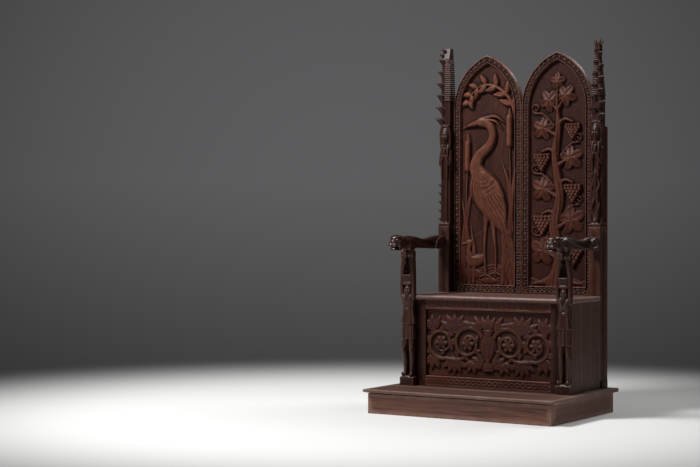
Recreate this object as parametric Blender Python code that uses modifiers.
"""Throne chair: a box seat with a hinged lid, on a low platform, between carved arm posts and
under a tall back of two pointed panels. Metres, +Z up. The chair faces -Y, and its origin is on
the floor under the middle of the platform."""
import math

import bmesh
import bpy
from mathutils import Matrix, Vector

for leftover in list(bpy.data.objects):
    bpy.data.objects.remove(leftover, do_unlink=True)

# Clearances
FIT = 0.0003            # between pieces that touch
LID_SIDE_GAP = 0.0015   # between the lid and what stands beside it
BORE_CLEARANCE = 0.0003

# Platform
PLATFORM_WIDTH = 1.080
PLATFORM_DEPTH = 0.752
PLATFORM_HEIGHT = 0.108
PLATFORM_BOARD = 0.022
DECK_THICKNESS = 0.021
DECK_OVERHANG = 0.022
DECK_PLANKS = ("deck_front_plank", "deck_middle_plank", "deck_rear_plank")
BEARER_WIDTH = 0.045
BEARER_HEIGHT = 0.060
BEARER_SPACING = 0.330

# Chest and seat
CHAIR_WIDTH = 0.992
CHEST_DEPTH = 0.350
CHEST_BOARD = 0.022
SEAT_HEIGHT = 0.493     # above the deck
SEAT_THICKNESS = 0.026
SEAT_OVERHANG = 0.028   # in front of the chest
SEAT_END_OVERHANG = 0.004
SEAT_NOSE_SHARE = 0.385  # radius of its front edges, as a share of the thickness
REAR_RAIL_DEPTH = 0.060  # in front of the carved back
STILE_WIDTH = 0.100
TOP_RAIL_HEIGHT = 0.051
BOTTOM_RAIL_HEIGHT = 0.055
FRONT_PANEL_THICKNESS = 0.018
FRONT_PANEL_LAP = 0.012
FRONT_RELIEF = 0.017
RELIEF_SINK = 0.0013    # middles of relief forms, below the ground's surface
RELIEF_MARGIN = 0.006   # between the relief and the frame
CLEAT_WIDTH = 0.040
CLEAT_HEIGHT = 0.018
CLEAT_MARGIN = 0.050
CLEAT_SPACING = 0.520

# Hinges
HINGE_SPACING = 0.560
HINGE_LENGTH = 0.075
HINGE_GAP = 0.005
LEAF_THICKNESS = 0.002
LEAF_HEIGHT = 0.018
KNUCKLE_RADIUS = 0.0045
KNUCKLE_CLEARANCE = 0.0006
PIN_RADIUS = 0.0022

# Arm posts and armrests
ARM_POST_WIDTH = 0.086
ARM_POST_SPREAD = 0.014  # past the side of the chest
ARM_POST_DEPTH = 0.050
ARM_POST_HEIGHT = 0.736
ARM_BLOCK_HEIGHT = 0.049
ARM_SLAB_WIDTH = 0.056
ARM_SLAB_DEPTH = 0.022
ARM_WIDTH = 0.068
ARM_HEIGHT = 0.078
ARM_HEAD_REACH = 0.150  # in front of the arm post
ARM_DOWEL_RADIUS = 0.008
ARM_DOWEL_LENGTH = 0.050

# Back posts, pinnacles and backing
BACK_POST_WIDTH = 0.069
BACK_POST_DEPTH = 0.0817
BACK_POST_HEIGHT = 0.863
PINNACLE_HEIGHT = 1.010
PINNACLE_PLINTH = 0.016
PINNACLE_SLAB_DEPTH = 0.048
NICHE_HEIGHT = 0.560    # plinth to the foot of the spire
FINIAL_HEIGHT = 0.060
SPIRE_TOP_WIDTH = 0.024
SPIRE_STRAIGHT_SHARE = 0.25
CROCKET_SIZE = 0.011
CROCKETS = 5
PINNACLE_DOWEL_RADIUS = 0.010
PINNACLE_DOWEL_LENGTH = 0.060
BACKING_THICKNESS = 0.014
BACKING_HEIGHT = 1.400
BACKING_PLANKS = 4

# Carved back panels
PANEL_SETBACK = 0.050   # behind the front of the back posts
BORDER_WIDTH = 0.042
GROUND_DEPTH = 0.020
SPRING_HEIGHT = 1.023   # above the seat
ARCH_RISE = 0.300

# Roundness of meshes, and the Boolean solver for carved forms: where many rounded forms meet,
# the exact one leaves open edges
ARC_STEPS = 10
RING_SIDES = 12
ROUND_SIDES = 16
CARVED = "MANIFOLD"

# Positions that follow from the sizes above
deck_top = PLATFORM_HEIGHT + FIT + DECK_THICKNESS
deck_half_width = PLATFORM_WIDTH / 2 + DECK_OVERHANG
deck_half_depth = PLATFORM_DEPTH / 2 + DECK_OVERHANG
stand = deck_top + FIT
outer = CHAIR_WIDTH / 2
backing_front = deck_half_depth - BACKING_THICKNESS
back_post_rear = backing_front - FIT
back_post_front = back_post_rear - BACK_POST_DEPTH
back_post_inner = outer - BACK_POST_WIDTH
back_post_x = outer - BACK_POST_WIDTH / 2
panel_face = back_post_front + PANEL_SETBACK
ledge = stand + BACK_POST_HEIGHT
chest_front = back_post_front - CHEST_DEPTH
seat_top = deck_top + SEAT_HEIGHT
seat_under = seat_top - SEAT_THICKNESS
chest_top = seat_under - FIT
side_inner = outer - CHEST_BOARD
frame_half = side_inner - FIT
opening_half = frame_half - STILE_WIDTH
opening_low = stand + BOTTOM_RAIL_HEIGHT
opening_high = chest_top - TOP_RAIL_HEIGHT
frame_rear = chest_front + CHEST_BOARD
arm_post_outer = outer + ARM_POST_SPREAD
arm_post_x = arm_post_outer - ARM_POST_WIDTH / 2
arm_post_inner = arm_post_outer - ARM_POST_WIDTH
arm_post_rear = chest_front - FIT
arm_post_front = arm_post_rear - ARM_POST_DEPTH
arm_post_top = stand + ARM_POST_HEIGHT
arm_low = arm_post_top + FIT
arm_tip = arm_post_front - ARM_HEAD_REACH
arm_rear = back_post_front - FIT
arm_length = arm_rear - arm_tip
lid_half = arm_post_inner - LID_SIDE_GAP
lid_front = chest_front - SEAT_OVERHANG
rail_front = panel_face - REAR_RAIL_DEPTH
lid_rear = rail_front - HINGE_GAP
hinge_y = rail_front - HINGE_GAP / 2
panel_low = seat_top + FIT
panel_half = (back_post_inner - FIT - FIT / 2) / 2
panel_x = FIT / 2 + panel_half
panel_rear = back_post_rear
field_half = panel_half - BORDER_WIDTH
field_low = panel_low + BORDER_WIDTH
field_height = SPRING_HEIGHT + ARCH_RISE - 2 * BORDER_WIDTH

# Finishes: colour, roughness, metallic
MAHOGANY = ((0.105, 0.036, 0.022, 1.0), 0.36, 0.0)
POLISHED = ((0.075, 0.028, 0.020, 1.0), 0.26, 0.0)
WORN_BOARD = ((0.165, 0.085, 0.062, 1.0), 0.55, 0.0)
IRON = ((0.060, 0.056, 0.052, 1.0), 0.45, 1.0)

parts = bpy.data.collections.new("throne_chair")
cutters = bpy.data.collections.new("cutters")
bpy.context.scene.collection.children.link(parts)
bpy.context.scene.collection.children.link(cutters)


def new_object(mesh, name, finish):
    """Put a mesh in the chair's collection under its node name, with a material of its own."""
    item = bpy.data.objects.new(name, mesh)
    mesh.name = name
    material = bpy.data.materials.new(name)
    material.use_nodes = True
    shader = material.node_tree.nodes["Principled BSDF"]
    shader.inputs["Base Color"].default_value = finish[0]
    shader.inputs["Roughness"].default_value = finish[1]
    shader.inputs["Metallic"].default_value = finish[2]
    mesh.materials.clear()
    mesh.materials.append(material)
    parts.objects.link(item)
    return item


def mesh_from(bm, smooth=False):
    """Turn a bmesh into mesh data with its faces pointing outwards."""
    bmesh.ops.recalc_face_normals(bm, faces=bm.faces)
    mesh = bpy.data.meshes.new("shape")
    bm.to_mesh(mesh)
    bm.free()
    if smooth:
        mesh.shade_smooth()
        mesh.set_sharp_from_angle(angle=math.radians(40))
    return mesh


def box_mesh(low, high):
    """A box between two corners."""
    low, high = Vector(low), Vector(high)
    place = Matrix.Translation((low + high) / 2) @ Matrix.Diagonal((high - low).to_4d())
    bm = bmesh.new()
    bmesh.ops.create_cube(bm, size=1.0, matrix=place)
    return mesh_from(bm)


def ball_mesh(centre, radii, tilt=0.0):
    """An ellipsoid, turned by tilt about the Y axis."""
    place = Matrix.Translation(centre) @ Matrix.Rotation(tilt, 4, "Y") @ Matrix.Diagonal((*radii, 1.0))
    bm = bmesh.new()
    bmesh.ops.create_uvsphere(bm, u_segments=RING_SIDES, v_segments=RING_SIDES // 2 + 1, radius=1.0,
                              matrix=place)
    return mesh_from(bm, smooth=True)


def rod_mesh(start, end, radius):
    """A round rod between two points."""
    start, end = Vector(start), Vector(end)
    run = end - start
    turn = run.to_track_quat("Z", "Y").to_matrix().to_4x4()
    place = Matrix.Translation((start + end) / 2) @ turn
    bm = bmesh.new()
    bmesh.ops.create_cone(bm, cap_ends=True, segments=ROUND_SIDES, radius1=radius, radius2=radius,
                          depth=run.length, matrix=place)
    return mesh_from(bm, smooth=True)


def loft_mesh(rings):
    """A closed skin through rings of equal point counts, with flat ends."""
    bm = bmesh.new()
    rows = [[bm.verts.new(point) for point in ring] for ring in rings]
    count = len(rows[0])
    for lower, upper in zip(rows, rows[1:]):
        for i in range(count):
            j = (i + 1) % count
            bm.faces.new((lower[i], lower[j], upper[j], upper[i]))
    bm.faces.new(list(reversed(rows[0])))
    bm.faces.new(rows[-1])
    return mesh_from(bm, smooth=True)


def level_ring(x, y, z, half_x, half_y):
    """Points of a level ellipse."""
    angles = [2 * math.pi * i / RING_SIDES for i in range(RING_SIDES)]
    return [(x + half_x * math.cos(a), y + half_y * math.sin(a), z) for a in angles]


def upright_ring(x, y, z, half_x, half_z):
    """Points of an ellipse that stands square to the Y axis."""
    angles = [2 * math.pi * i / RING_SIDES for i in range(RING_SIDES)]
    return [(x + half_x * math.cos(a), y, z + half_z * math.sin(a)) for a in angles]


def outline_mesh(points, front, rear):
    """A board cut to an outline of (x, z) points, between two depths along Y."""
    curve = bpy.data.curves.new("outline", "CURVE")
    curve.dimensions = "2D"
    curve.fill_mode = "BOTH"
    curve.extrude = (rear - front) / 2
    spline = curve.splines.new("POLY")
    spline.points.add(len(points) - 1)
    for slot, (x, z) in zip(spline.points, points):
        slot.co = (x, z, 0.0, 1.0)
    spline.use_cyclic_u = True
    holder = bpy.data.objects.new("outline", curve)
    cutters.objects.link(holder)
    seen = bpy.context.evaluated_depsgraph_get()
    mesh = bpy.data.meshes.new_from_object(holder.evaluated_get(seen))
    bpy.data.objects.remove(holder, do_unlink=True)
    bm = bmesh.new()
    bm.from_mesh(mesh)
    bmesh.ops.remove_doubles(bm, verts=bm.verts, dist=FIT / 10)
    stand_up = Matrix.Translation((0.0, (front + rear) / 2, 0.0)) @ Matrix.Rotation(math.pi / 2, 4, "X")
    bmesh.ops.transform(bm, matrix=stand_up, verts=bm.verts)
    return mesh_from(bm)


def combine(first, changes, solver="EXACT"):
    """Add or cut meshes one after another: changes are (operation, mesh) pairs."""
    base = bpy.data.objects.new("base", first)
    cutters.objects.link(base)
    helpers = [base]
    for operation, mesh in changes:
        tool = bpy.data.objects.new("tool", mesh)
        tool.display_type = "WIRE"
        tool.hide_render = True
        cutters.objects.link(tool)
        helpers.append(tool)
        modifier = base.modifiers.new(operation.lower(), "BOOLEAN")
        modifier.operation = operation
        modifier.solver = solver
        modifier.object = tool
    seen = bpy.context.evaluated_depsgraph_get()
    result = bpy.data.meshes.new_from_object(base.evaluated_get(seen))
    for helper in helpers:
        bpy.data.objects.remove(helper, do_unlink=True)
    return result


def fuse(meshes, solver="EXACT"):
    """Union of overlapping meshes."""
    return combine(meshes[0], [("UNION", mesh) for mesh in meshes[1:]], solver)


def board(name, low, high, finish):
    """A plain board."""
    return new_object(box_mesh(low, high), name, finish)


def build_platform():
    """Four boards on edge, three bearers, and a deck of planks that overhangs them."""
    half_w, half_d = PLATFORM_WIDTH / 2, PLATFORM_DEPTH / 2
    inner_w, inner_d = half_w - PLATFORM_BOARD, half_d - PLATFORM_BOARD
    board("platform_front_board", (-half_w, -half_d, 0), (half_w, -inner_d, PLATFORM_HEIGHT), WORN_BOARD)
    board("platform_back_board", (-half_w, inner_d, 0), (half_w, half_d, PLATFORM_HEIGHT), WORN_BOARD)
    reach = inner_d - FIT
    board("platform_left_board", (-half_w, -reach, 0), (-inner_w, reach, PLATFORM_HEIGHT), WORN_BOARD)
    board("platform_right_board", (inner_w, -reach, 0), (half_w, reach, PLATFORM_HEIGHT), WORN_BOARD)
    bearer_low = PLATFORM_HEIGHT - BEARER_HEIGHT
    for name, step in (("left", -1), ("middle", 0), ("right", 1)):
        x = step * BEARER_SPACING
        board(f"deck_{name}_bearer", (x - BEARER_WIDTH / 2, -reach, bearer_low),
              (x + BEARER_WIDTH / 2, reach, PLATFORM_HEIGHT), WORN_BOARD)
    plank_depth = (2 * deck_half_depth - FIT * (len(DECK_PLANKS) - 1)) / len(DECK_PLANKS)
    for i, name in enumerate(DECK_PLANKS):
        front = -deck_half_depth + i * (plank_depth + FIT)
        board(name, (-deck_half_width, front, PLATFORM_HEIGHT + FIT),
              (deck_half_width, front + plank_depth, deck_top), WORN_BOARD)


def build_chest():
    """Two sides, a back board, and a front frame with a carved panel behind it."""
    side_rear = back_post_front - FIT
    back_half = back_post_inner - FIT
    rail_half = opening_half - FIT
    for name, side in (("left", -1), ("right", 1)):
        board(f"chest_{name}_side",
              *across(side, side_inner, outer, chest_front, side_rear, stand, chest_top), MAHOGANY)
        board(f"front_{name}_stile",
              *across(side, opening_half, frame_half, chest_front, frame_rear, stand, chest_top), MAHOGANY)
    board("chest_back_board", (-back_half, back_post_front, stand),
          (back_half, back_post_front + CHEST_BOARD, chest_top), MAHOGANY)
    board("front_top_rail", (-rail_half, chest_front, opening_high), (rail_half, frame_rear, chest_top),
          MAHOGANY)
    board("front_bottom_rail", (-rail_half, chest_front, stand), (rail_half, frame_rear, opening_low),
          MAHOGANY)
    build_front_panel()


def across(side, near, far, front, rear, low, high):
    """Corners of a box on one side of the chair, between two distances from its middle plane."""
    edges = sorted((side * near, side * far))
    return (edges[0], front, low), (edges[1], rear, high)


def build_front_panel():
    """A panel that laps behind the frame, with a vase and four leaf scrolls in relief."""
    ground = frame_rear + FIT
    rooted = ground + RELIEF_SINK
    lap_half = opening_half + FRONT_PANEL_LAP
    plain = box_mesh((-lap_half, ground, opening_low - FRONT_PANEL_LAP),
                     (lap_half, ground + FRONT_PANEL_THICKNESS, opening_high + FRONT_PANEL_LAP))
    middle = (opening_low + opening_high) / 2
    tall = opening_high - opening_low
    vase_radius = tall * 0.11
    # Vase: height from the middle and width, as shares of the field's height and the vase's radius
    vase = ((-0.34, 0.6), (-0.30, 0.75), (-0.24, 0.3), (-0.05, 1.0), (0.06, 0.9), (0.12, 0.45),
            (0.20, 0.75))
    shapes = [loft_mesh([level_ring(0.0, rooted, middle + height * tall, vase_radius * share,
                                    FRONT_RELIEF * share) for height, share in vase])]
    scroll_radius = tall * 0.27
    outer_scroll = opening_half - RELIEF_MARGIN - scroll_radius
    for side in (-1, 1):
        for place in (outer_scroll, outer_scroll - 1.7 * scroll_radius):
            shapes.append(ball_mesh((side * place, rooted, middle),
                                    (scroll_radius, FRONT_RELIEF, scroll_radius)))
    new_object(carve(plain, shapes, ground, FRONT_PANEL_THICKNESS), "front_panel", MAHOGANY)


def carve(plain, shapes, ground, thickness):
    """Stand relief forms on a board's ground. Their hidden backs end inside the board."""
    reach = PLATFORM_WIDTH
    slab = box_mesh((-reach, ground - reach, 0.0), (reach, ground + thickness / 2, 3 * reach))
    rooted = combine(fuse(shapes, CARVED), [("INTERSECT", slab)], CARVED)
    return combine(plain, [("UNION", rooted)], CARVED)


def build_seat():
    """The hinged lid, its cleats, the fixed end strips and the fixed rear rail."""
    hinge_line = bpy.data.objects.new("lid_hinge_line", None)
    hinge_line.location = (0.0, hinge_y, seat_top)
    parts.objects.link(hinge_line)
    bpy.context.view_layer.update()
    to_hinge = hinge_line.matrix_world.inverted()

    lid_mesh = combine(box_mesh((-lid_half, lid_front, seat_under), (lid_half, lid_rear, seat_top)),
                       [("DIFFERENCE", notch_mesh(side)) for side in (-1, 1)])
    lid = new_object(lid_mesh, "seat_lid", POLISHED)
    round_front_edge(lid)
    moving = [lid]
    cleat_high = seat_under - FIT
    for name, side in (("left", -1), ("right", 1)):
        x = side * CLEAT_SPACING / 2
        moving.append(board(f"seat_lid_{name}_cleat",
                            (x - CLEAT_WIDTH / 2, frame_rear + CLEAT_MARGIN, cleat_high - CLEAT_HEIGHT),
                            (x + CLEAT_WIDTH / 2, lid_rear - CLEAT_MARGIN, cleat_high), MAHOGANY))
    for piece in moving + build_hinges():
        piece.parent = hinge_line
        piece.matrix_parent_inverse = to_hinge

    strip_outer = outer + SEAT_END_OVERHANG
    strip_rear = back_post_front - FIT
    for name, side in (("left", -1), ("right", 1)):
        board(f"seat_{name}_strip",
              *across(side, arm_post_inner, strip_outer, chest_front, strip_rear, seat_under, seat_top),
              POLISHED)

    narrow, wide = arm_post_inner - FIT, back_post_inner - FIT
    rail_mesh = fuse([box_mesh((-narrow, rail_front, seat_under), (narrow, back_post_rear, seat_top)),
                      box_mesh((-wide, back_post_front, seat_under), (wide, back_post_rear, seat_top))])
    rail_mesh = combine(rail_mesh, [("DIFFERENCE", notch_mesh(side)) for side in (-1, 1)])
    new_object(rail_mesh, "seat_rear_rail", POLISHED)


def round_front_edge(lid):
    """Round the lid's two front edges."""
    weights = lid.data.attributes.new("bevel_weight_edge", "FLOAT", "EDGE")
    for edge in lid.data.edges:
        ends = [lid.data.vertices[v].co for v in edge.vertices]
        at_front = all(abs(end.y - lid_front) < FIT for end in ends)
        weights.data[edge.index].value = 1.0 if at_front and abs(ends[0].z - ends[1].z) < FIT else 0.0
    bevel = lid.modifiers.new("rounded_nose", "BEVEL")
    bevel.width = SEAT_NOSE_SHARE * SEAT_THICKNESS
    bevel.segments = 4
    bevel.limit_method = "WEIGHT"


def notch_mesh(side):
    """The pocket that lets a hinge's knuckles sink into the wood on both sides of the joint."""
    x = side * HINGE_SPACING / 2
    half = HINGE_LENGTH / 2 + KNUCKLE_CLEARANCE
    reach = KNUCKLE_RADIUS + KNUCKLE_CLEARANCE
    return box_mesh((x - half, hinge_y - reach, seat_top - reach),
                    (x + half, hinge_y + reach, seat_top + reach))


def build_hinges():
    """Two butt hinges in the joint behind the lid. Gives back the leaves that move with the lid."""
    moving = []
    third = HINGE_LENGTH / 3
    leaf_high = seat_top - KNUCKLE_RADIUS - KNUCKLE_CLEARANCE
    leaf_low = leaf_high - LEAF_HEIGHT
    for name, side in (("left", -1), ("right", 1)):
        middle = side * HINGE_SPACING / 2
        start = middle - HINGE_LENGTH / 2
        bore = rod_mesh((start - third, hinge_y, seat_top), (start + 4 * third, hinge_y, seat_top),
                        PIN_RADIUS + BORE_CLEARANCE)
        leaves = (("rail_leaf", rail_front - FIT - LEAF_THICKNESS, (0, 2)),
                  ("lid_leaf", lid_rear + FIT, (1,)))
        for leaf, plate_y, knuckles in leaves:
            plate_rear = plate_y + LEAF_THICKNESS
            shapes = [box_mesh((start, plate_y, leaf_low), (start + HINGE_LENGTH, plate_rear, leaf_high))]
            for k in knuckles:
                low = start + k * third + FIT / 2
                high = start + (k + 1) * third - FIT / 2
                shapes.append(box_mesh((low, plate_y, leaf_high - LEAF_THICKNESS),
                                       (high, plate_rear, seat_top)))
                shapes.append(rod_mesh((low, hinge_y, seat_top), (high, hinge_y, seat_top), KNUCKLE_RADIUS))
            mesh = combine(fuse(shapes), [("DIFFERENCE", bore.copy())])
            item = new_object(mesh, f"{name}_hinge_{leaf}", IRON)
            if leaf == "lid_leaf":
                moving.append(item)
        pin = rod_mesh((start, hinge_y, seat_top), (start + HINGE_LENGTH, hinge_y, seat_top), PIN_RADIUS)
        new_object(pin, f"{name}_hinge_pin", IRON)
    return moving


def arm_figure_shapes(x):
    """The standing figure of an arm post: block, backing slab, legs, skirt, tunic, head and arms."""
    low = stand + ARM_BLOCK_HEIGHT
    height = arm_post_top - low
    half = ARM_POST_WIDTH / 2
    middle = arm_post_rear - ARM_POST_DEPTH / 2
    deep = ARM_POST_DEPTH / 2

    def rings(profile, shift=0.0):
        """Level rings from (height share, sideways share, forward share, half width, half depth)."""
        return [level_ring(x + (side + shift) * half, middle - forward * deep, low + up * height,
                           wide * half, thick * deep) for up, side, forward, wide, thick in profile]

    slab_front = arm_post_rear - ARM_SLAB_DEPTH
    shapes = [box_mesh((x - half, arm_post_front, stand), (x + half, arm_post_rear, low)),
              box_mesh((x - ARM_SLAB_WIDTH / 2, slab_front, low - FIT),
                       (x + ARM_SLAB_WIDTH / 2, arm_post_rear, arm_post_top))]
    for side in (-1, 1):
        leg = ((-0.004, 0.40, 0.10, 0.28, 0.80), (0.035, 0.38, 0.15, 0.24, 0.62),
               (0.13, 0.40, 0.15, 0.34, 0.62), (0.20, 0.38, 0.20, 0.30, 0.60), (0.34, 0.40, 0.10, 0.40, 0.70))
        shapes.append(loft_mesh(rings([(u, s * side, f, w, t) for u, s, f, w, t in leg])))
        arm = ((0.64, 0.62, 0.0, 0.28, 0.50), (0.72, 0.68, 0.1, 0.30, 0.55),
               (0.82, 0.66, 0.1, 0.25, 0.50), (0.93, 0.56, 0.1, 0.24, 0.50), (1.0, 0.52, 0.0, 0.34, 0.62))
        shapes.append(loft_mesh(rings([(u, s * side, f, w, t) for u, s, f, w, t in arm])))
    skirt = ((0.315, 0.0, 0.05, 0.90, 0.90), (0.46, 0.0, 0.05, 0.84, 0.84))
    tunic = ((0.45, 0.0, 0.05, 0.92, 0.90), (0.50, 0.0, 0.05, 0.78, 0.78), (0.57, 0.0, 0.05, 0.66, 0.70),
             (0.63, 0.0, 0.05, 0.84, 0.76), (0.665, 0.0, 0.0, 0.88, 0.66), (0.69, 0.0, 0.0, 0.40, 0.40))
    head = ((0.66, 0.0, 0.0, 0.30, 0.44), (0.70, 0.0, 0.25, 0.40, 0.60), (0.735, 0.0, 0.28, 0.46, 0.66),
            (0.765, 0.0, 0.22, 0.50, 0.70), (0.825, 0.0, 0.22, 0.54, 0.74))
    shapes += [loft_mesh(rings(profile)) for profile in (skirt, tunic, head)]
    return shapes


def build_arm_post(name, x):
    """An arm post with a blind bore for the armrest's dowel."""
    bore = rod_mesh((x, dowel_y(), arm_post_top - ARM_DOWEL_LENGTH / 2 - BORE_CLEARANCE),
                    (x, dowel_y(), arm_post_top + ARM_DOWEL_LENGTH), ARM_DOWEL_RADIUS + BORE_CLEARANCE)
    inside = box_mesh((x - ARM_POST_WIDTH / 2, arm_post_front, stand),
                      (x + ARM_POST_WIDTH / 2, arm_post_rear, arm_post_top))
    shape = combine(fuse(arm_figure_shapes(x), CARVED), [("INTERSECT", inside), ("DIFFERENCE", bore)], CARVED)
    new_object(shape, name, MAHOGANY)


def dowel_y():
    """Depth of the dowel in the solid back of an arm post."""
    return arm_post_rear - ARM_SLAB_DEPTH / 2


def build_armrest(name, x):
    """A stretched beast: head forward, shoulders on the post, a thin loin, haunches at the back post."""
    post_share = (arm_post_rear - ARM_POST_DEPTH / 2 - arm_tip) / arm_length
    half_w, half_h = ARM_WIDTH / 2, ARM_HEIGHT / 2
    centre = arm_low + half_h
    # Each section: share of the length, half width, half height and lift, as shares of the arm's halves
    sections = ((0.0, 0.38, 0.34, -0.12), (0.02, 0.66, 0.62, -0.12), (0.07, 0.86, 0.80, -0.04),
                (0.12, 0.96, 0.96, 0.02), (0.17, 0.84, 0.82, 0.06), (post_share - 0.02, 0.98, 0.98, 0.0),
                (post_share + 0.08, 0.92, 0.90, 0.06), (0.50, 0.68, 0.56, 0.34), (0.66, 0.62, 0.48, 0.42),
                (0.80, 0.86, 0.80, 0.16), (0.90, 0.98, 0.98, 0.0), (1.0, 0.94, 0.94, 0.0))
    shapes = [loft_mesh([upright_ring(x, arm_tip + along * arm_length, centre + lift * half_h,
                                      wide * half_w, tall * half_h) for along, wide, tall, lift in sections])]
    saddle_half = ARM_SLAB_WIDTH / 2
    shapes.append(box_mesh((x - saddle_half, arm_post_front, arm_low),
                           (x + saddle_half, arm_post_rear, centre)))
    for side in (-1, 1):
        foreleg = ((post_share, 0.60, 0.46, -0.34), (post_share + 0.10, 0.62, 0.40, -0.50),
                   (0.56, 0.62, 0.22, -0.66), (0.84, 0.60, 0.26, -0.40))
        shapes.append(loft_mesh([upright_ring(x + side * wide * half_w, arm_tip + along * arm_length,
                                              centre + lift * half_h, half_w * 0.32, tall * half_h)
                                 for along, wide, tall, lift in foreleg]))
    bore = rod_mesh((x, dowel_y(), arm_low - ARM_DOWEL_LENGTH),
                    (x, dowel_y(), arm_low + ARM_DOWEL_LENGTH / 2 + BORE_CLEARANCE),
                    ARM_DOWEL_RADIUS + BORE_CLEARANCE)
    inside = box_mesh((x - ARM_WIDTH, arm_tip, arm_low), (x + ARM_WIDTH, arm_rear, arm_low + 2 * ARM_HEIGHT))
    shape = combine(fuse(shapes, CARVED), [("INTERSECT", inside), ("DIFFERENCE", bore)], CARVED)
    new_object(shape, name, POLISHED)


def build_arms():
    """Arm posts, armrests and the dowels between them."""
    for name, side in (("left", -1), ("right", 1)):
        x = side * arm_post_x
        build_arm_post(f"{name}_arm_post", x)
        build_armrest(f"{name}_armrest", x)
        dowel = rod_mesh((x, dowel_y(), arm_post_top - ARM_DOWEL_LENGTH / 2),
                         (x, dowel_y(), arm_post_top + ARM_DOWEL_LENGTH / 2), ARM_DOWEL_RADIUS)
        new_object(dowel, f"{name}_arm_dowel", MAHOGANY)


def build_back_post(name, x):
    """The plain lower post, with a blind bore in its ledge."""
    y = back_post_rear - PINNACLE_SLAB_DEPTH / 2
    half = BACK_POST_WIDTH / 2
    bore = rod_mesh((x, y, ledge - PINNACLE_DOWEL_LENGTH / 2 - BORE_CLEARANCE),
                    (x, y, ledge + PINNACLE_DOWEL_LENGTH), PINNACLE_DOWEL_RADIUS + BORE_CLEARANCE)
    body = box_mesh((x - half, back_post_front, stand), (x + half, back_post_rear, ledge))
    new_object(combine(body, [("DIFFERENCE", bore)]), name, MAHOGANY)


def build_pinnacle(name, x):
    """A robed figure on a plinth, against a slab that ends in a crocketed spire."""
    low = ledge + FIT
    half = BACK_POST_WIDTH / 2
    slab_front = back_post_rear - PINNACLE_SLAB_DEPTH
    niche_low = low + PINNACLE_PLINTH
    niche_high = niche_low + NICHE_HEIGHT
    spire_high = low + PINNACLE_HEIGHT - FINIAL_HEIGHT
    slab_half = half * 0.86
    spire_y = back_post_rear - slab_half
    shapes = [box_mesh((x - half, back_post_front, low), (x + half, back_post_rear, niche_low)),
              box_mesh((x - slab_half, slab_front, niche_low - FIT),
                       (x + slab_half, back_post_rear, niche_high))]
    # A square spire on the slab, straight at its foot
    top_half = SPIRE_TOP_WIDTH / 2
    straight_high = niche_high + SPIRE_STRAIGHT_SHARE * (spire_high - niche_high)
    spire = []
    for z, reach in ((niche_high - FIT, slab_half), (straight_high, slab_half), (spire_high, top_half)):
        spire.append([(x - reach, spire_y - reach, z), (x + reach, spire_y - reach, z),
                      (x + reach, spire_y + reach, z), (x - reach, spire_y + reach, z)])
    shapes.append(loft_mesh(spire))
    # The finial: a bud on a short neck
    neck = SPIRE_TOP_WIDTH * 0.42
    finial = ((-FIT, 1.0), (0.30, 0.75), (0.62, 1.7), (0.80, 1.5), (1.0, 0.5))
    shapes.append(loft_mesh([level_ring(x, spire_y, spire_high + up * FINIAL_HEIGHT, neck * wide,
                                        neck * wide) for up, wide in finial]))
    # The robed figure
    front = (slab_front + back_post_front) / 2
    deep = slab_front - back_post_front
    robe = ((-0.004, 0.62, 0.84), (0.10, 0.66, 0.79), (0.45, 0.60, 0.70), (0.66, 0.70, 0.76),
            (0.80, 0.78, 0.70), (0.845, 0.30, 0.44))
    shapes.append(loft_mesh([level_ring(x, slab_front - deep * 0.12, niche_low + up * NICHE_HEIGHT,
                                        half * wide, deep * thick) for up, wide, thick in robe]))
    head_height = 0.085 * NICHE_HEIGHT
    shapes.append(ball_mesh((x, front, niche_low + 0.905 * NICHE_HEIGHT),
                            (half * 0.52, deep * 0.62, head_height)))
    # Crockets: hooked leaves up the front edge of the spire
    for i in range(CROCKETS):
        share = i / CROCKETS
        z = niche_high + (0.06 + 0.86 * share) * (spire_high - niche_high)
        taper = max(0.0, (z - straight_high) / (spire_high - straight_high))
        reach = slab_half + (top_half - slab_half) * taper
        size = CROCKET_SIZE * (1.15 - 0.4 * share)
        shapes.append(ball_mesh((x, spire_y - reach - size * 0.4, z), (size, size * 1.3, size)))
    y = back_post_rear - PINNACLE_SLAB_DEPTH / 2
    bore = rod_mesh((x, y, low - PINNACLE_DOWEL_LENGTH),
                    (x, y, low + PINNACLE_DOWEL_LENGTH / 2 + BORE_CLEARANCE),
                    PINNACLE_DOWEL_RADIUS + BORE_CLEARANCE)
    new_object(combine(fuse(shapes, CARVED), [("DIFFERENCE", bore)], CARVED), name, MAHOGANY)
    dowel = rod_mesh((x, y, ledge - PINNACLE_DOWEL_LENGTH / 2), (x, y, ledge + PINNACLE_DOWEL_LENGTH / 2),
                     PINNACLE_DOWEL_RADIUS)
    new_object(dowel, f"{name}_dowel", MAHOGANY)


def arch_outline(x, inset):
    """A pointed arch of two arcs on straight sides, drawn in by inset all round."""
    half = panel_half
    radius = (half * half + ARCH_RISE * ARCH_RISE) / (2 * half)
    centre = radius - half
    spring = panel_low + SPRING_HEIGHT
    inner = radius - inset
    apex_angle = math.acos(centre / inner)
    low = panel_low + inset
    right = [(x - centre + inner * math.cos(apex_angle * i / ARC_STEPS),
              spring + inner * math.sin(apex_angle * i / ARC_STEPS)) for i in range(ARC_STEPS + 1)]
    left = [(2 * x - px, pz) for px, pz in reversed(right[:-1])]
    return [(x - half + inset, low), (x + half - inset, low)] + right + left


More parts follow.
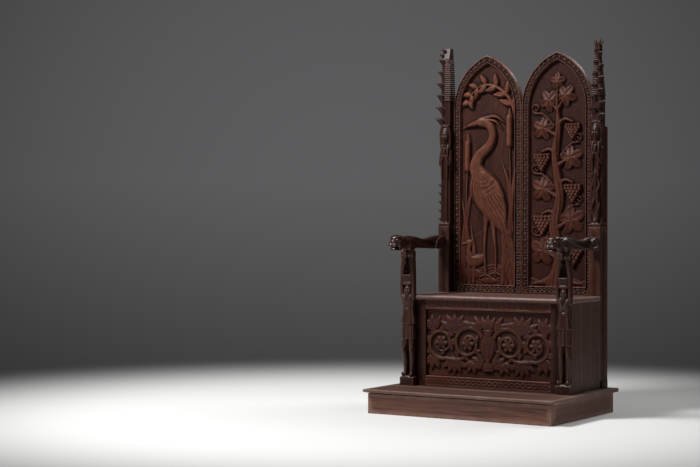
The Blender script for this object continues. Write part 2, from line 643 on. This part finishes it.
def wader_shapes(x, ground):
    """A wading bird among reeds, in high relief. Heights and sizes are shares of the sunk field."""
    deep = GROUND_DEPTH * 0.9
    shapes = [ball_mesh((x + 0.05 * field_half, ground, field_low + 0.40 * field_height),
                        (0.48 * field_half, deep, 0.11 * field_height), math.radians(-24)),
              ball_mesh((x - 0.18 * field_half, ground, field_low + 0.73 * field_height),
                        (0.23 * field_half, deep, 0.023 * field_height), math.radians(14))]
    neck = ((0.47, 0.30, 0.21), (0.53, 0.48, 0.16), (0.60, 0.28, 0.14), (0.66, -0.02, 0.12),
            (0.73, -0.06, 0.13))
    shapes.append(stem_mesh(x, ground, neck, deep * 0.8))
    for side in (-0.10, 0.26):
        leg = ((0.024, side, 0.07), (0.18, side, 0.06), (0.34, side, 0.11))
        shapes.append(stem_mesh(x, ground, leg, deep * 0.6))
    for side, high in ((-0.72, 0.58), (0.78, 0.69)):
        shapes.append(ball_mesh((x + side * field_half, ground, field_low + high * field_height),
                                (0.09 * field_half, deep * 0.7, 0.06 * field_height)))
    return shapes


def vine_shapes(x, ground):
    """A twisting vine stock with leaves and bunches of grapes, in high relief, as shares of the field."""
    deep = GROUND_DEPTH * 0.9
    stock = ((0.008, -0.10, 0.27), (0.11, 0.12, 0.19), (0.26, -0.16, 0.16), (0.40, 0.12, 0.14),
             (0.565, -0.08, 0.12), (0.74, 0.06, 0.09))
    shapes = [stem_mesh(x, ground, stock, deep * 0.9)]
    leaves = ((-0.50, 0.24, 0.40), (0.52, 0.34, 0.41), (-0.50, 0.53, 0.40), (0.50, 0.645, 0.37),
              (-0.30, 0.79, 0.33))
    for side, up, size in leaves:
        shapes.append(ball_mesh((x + side * field_half, ground, field_low + up * field_height),
                                (size * field_half, deep * 0.6, size * field_half)))
    for side, up in ((0.52, 0.16), (-0.54, 0.39), (0.50, 0.49)):
        shapes.append(ball_mesh((x + side * field_half, ground, field_low + up * field_height),
                                (0.21 * field_half, deep * 0.85, 0.34 * field_half)))
    return shapes


def stem_mesh(x, ground, path, deep):
    """A stem through (height, sideways, half width) shares of the sunk field."""
    return loft_mesh([level_ring(x + side * field_half, ground, field_low + up * field_height,
                                 wide * field_half, deep) for up, side, wide in path])


def build_back_panel(name, x, relief):
    """A thick board with a pointed top: a standing border round a sunk ground with a relief."""
    ground = panel_face + GROUND_DEPTH
    solid = outline_mesh(arch_outline(x, 0.0), panel_face, panel_rear)
    sunk = outline_mesh(arch_outline(x, BORDER_WIDTH), panel_face - GROUND_DEPTH, ground)
    shape = combine(solid, [("DIFFERENCE", sunk)])
    shape = carve(shape, relief(x, ground + RELIEF_SINK), ground, panel_rear - ground)
    new_object(shape, name, MAHOGANY)


def build_back():
    """Back posts with their pinnacles, the two carved panels and the backing planks."""
    for name, side in (("left", -1), ("right", 1)):
        build_back_post(f"{name}_back_post", side * back_post_x)
        build_pinnacle(f"{name}_pinnacle", side * back_post_x)
    build_back_panel("left_back_panel", -panel_x, wader_shapes)
    build_back_panel("right_back_panel", panel_x, vine_shapes)
    plank = (CHAIR_WIDTH - FIT * (BACKING_PLANKS - 1)) / BACKING_PLANKS
    for i in range(BACKING_PLANKS):
        start = -outer + i * (plank + FIT)
        board(f"backing_plank_{i + 1}", (start, backing_front, stand),
              (start + plank, deck_half_depth, stand + BACKING_HEIGHT), MAHOGANY)


build_platform()
build_chest()
build_seat()
build_arms()
build_back()
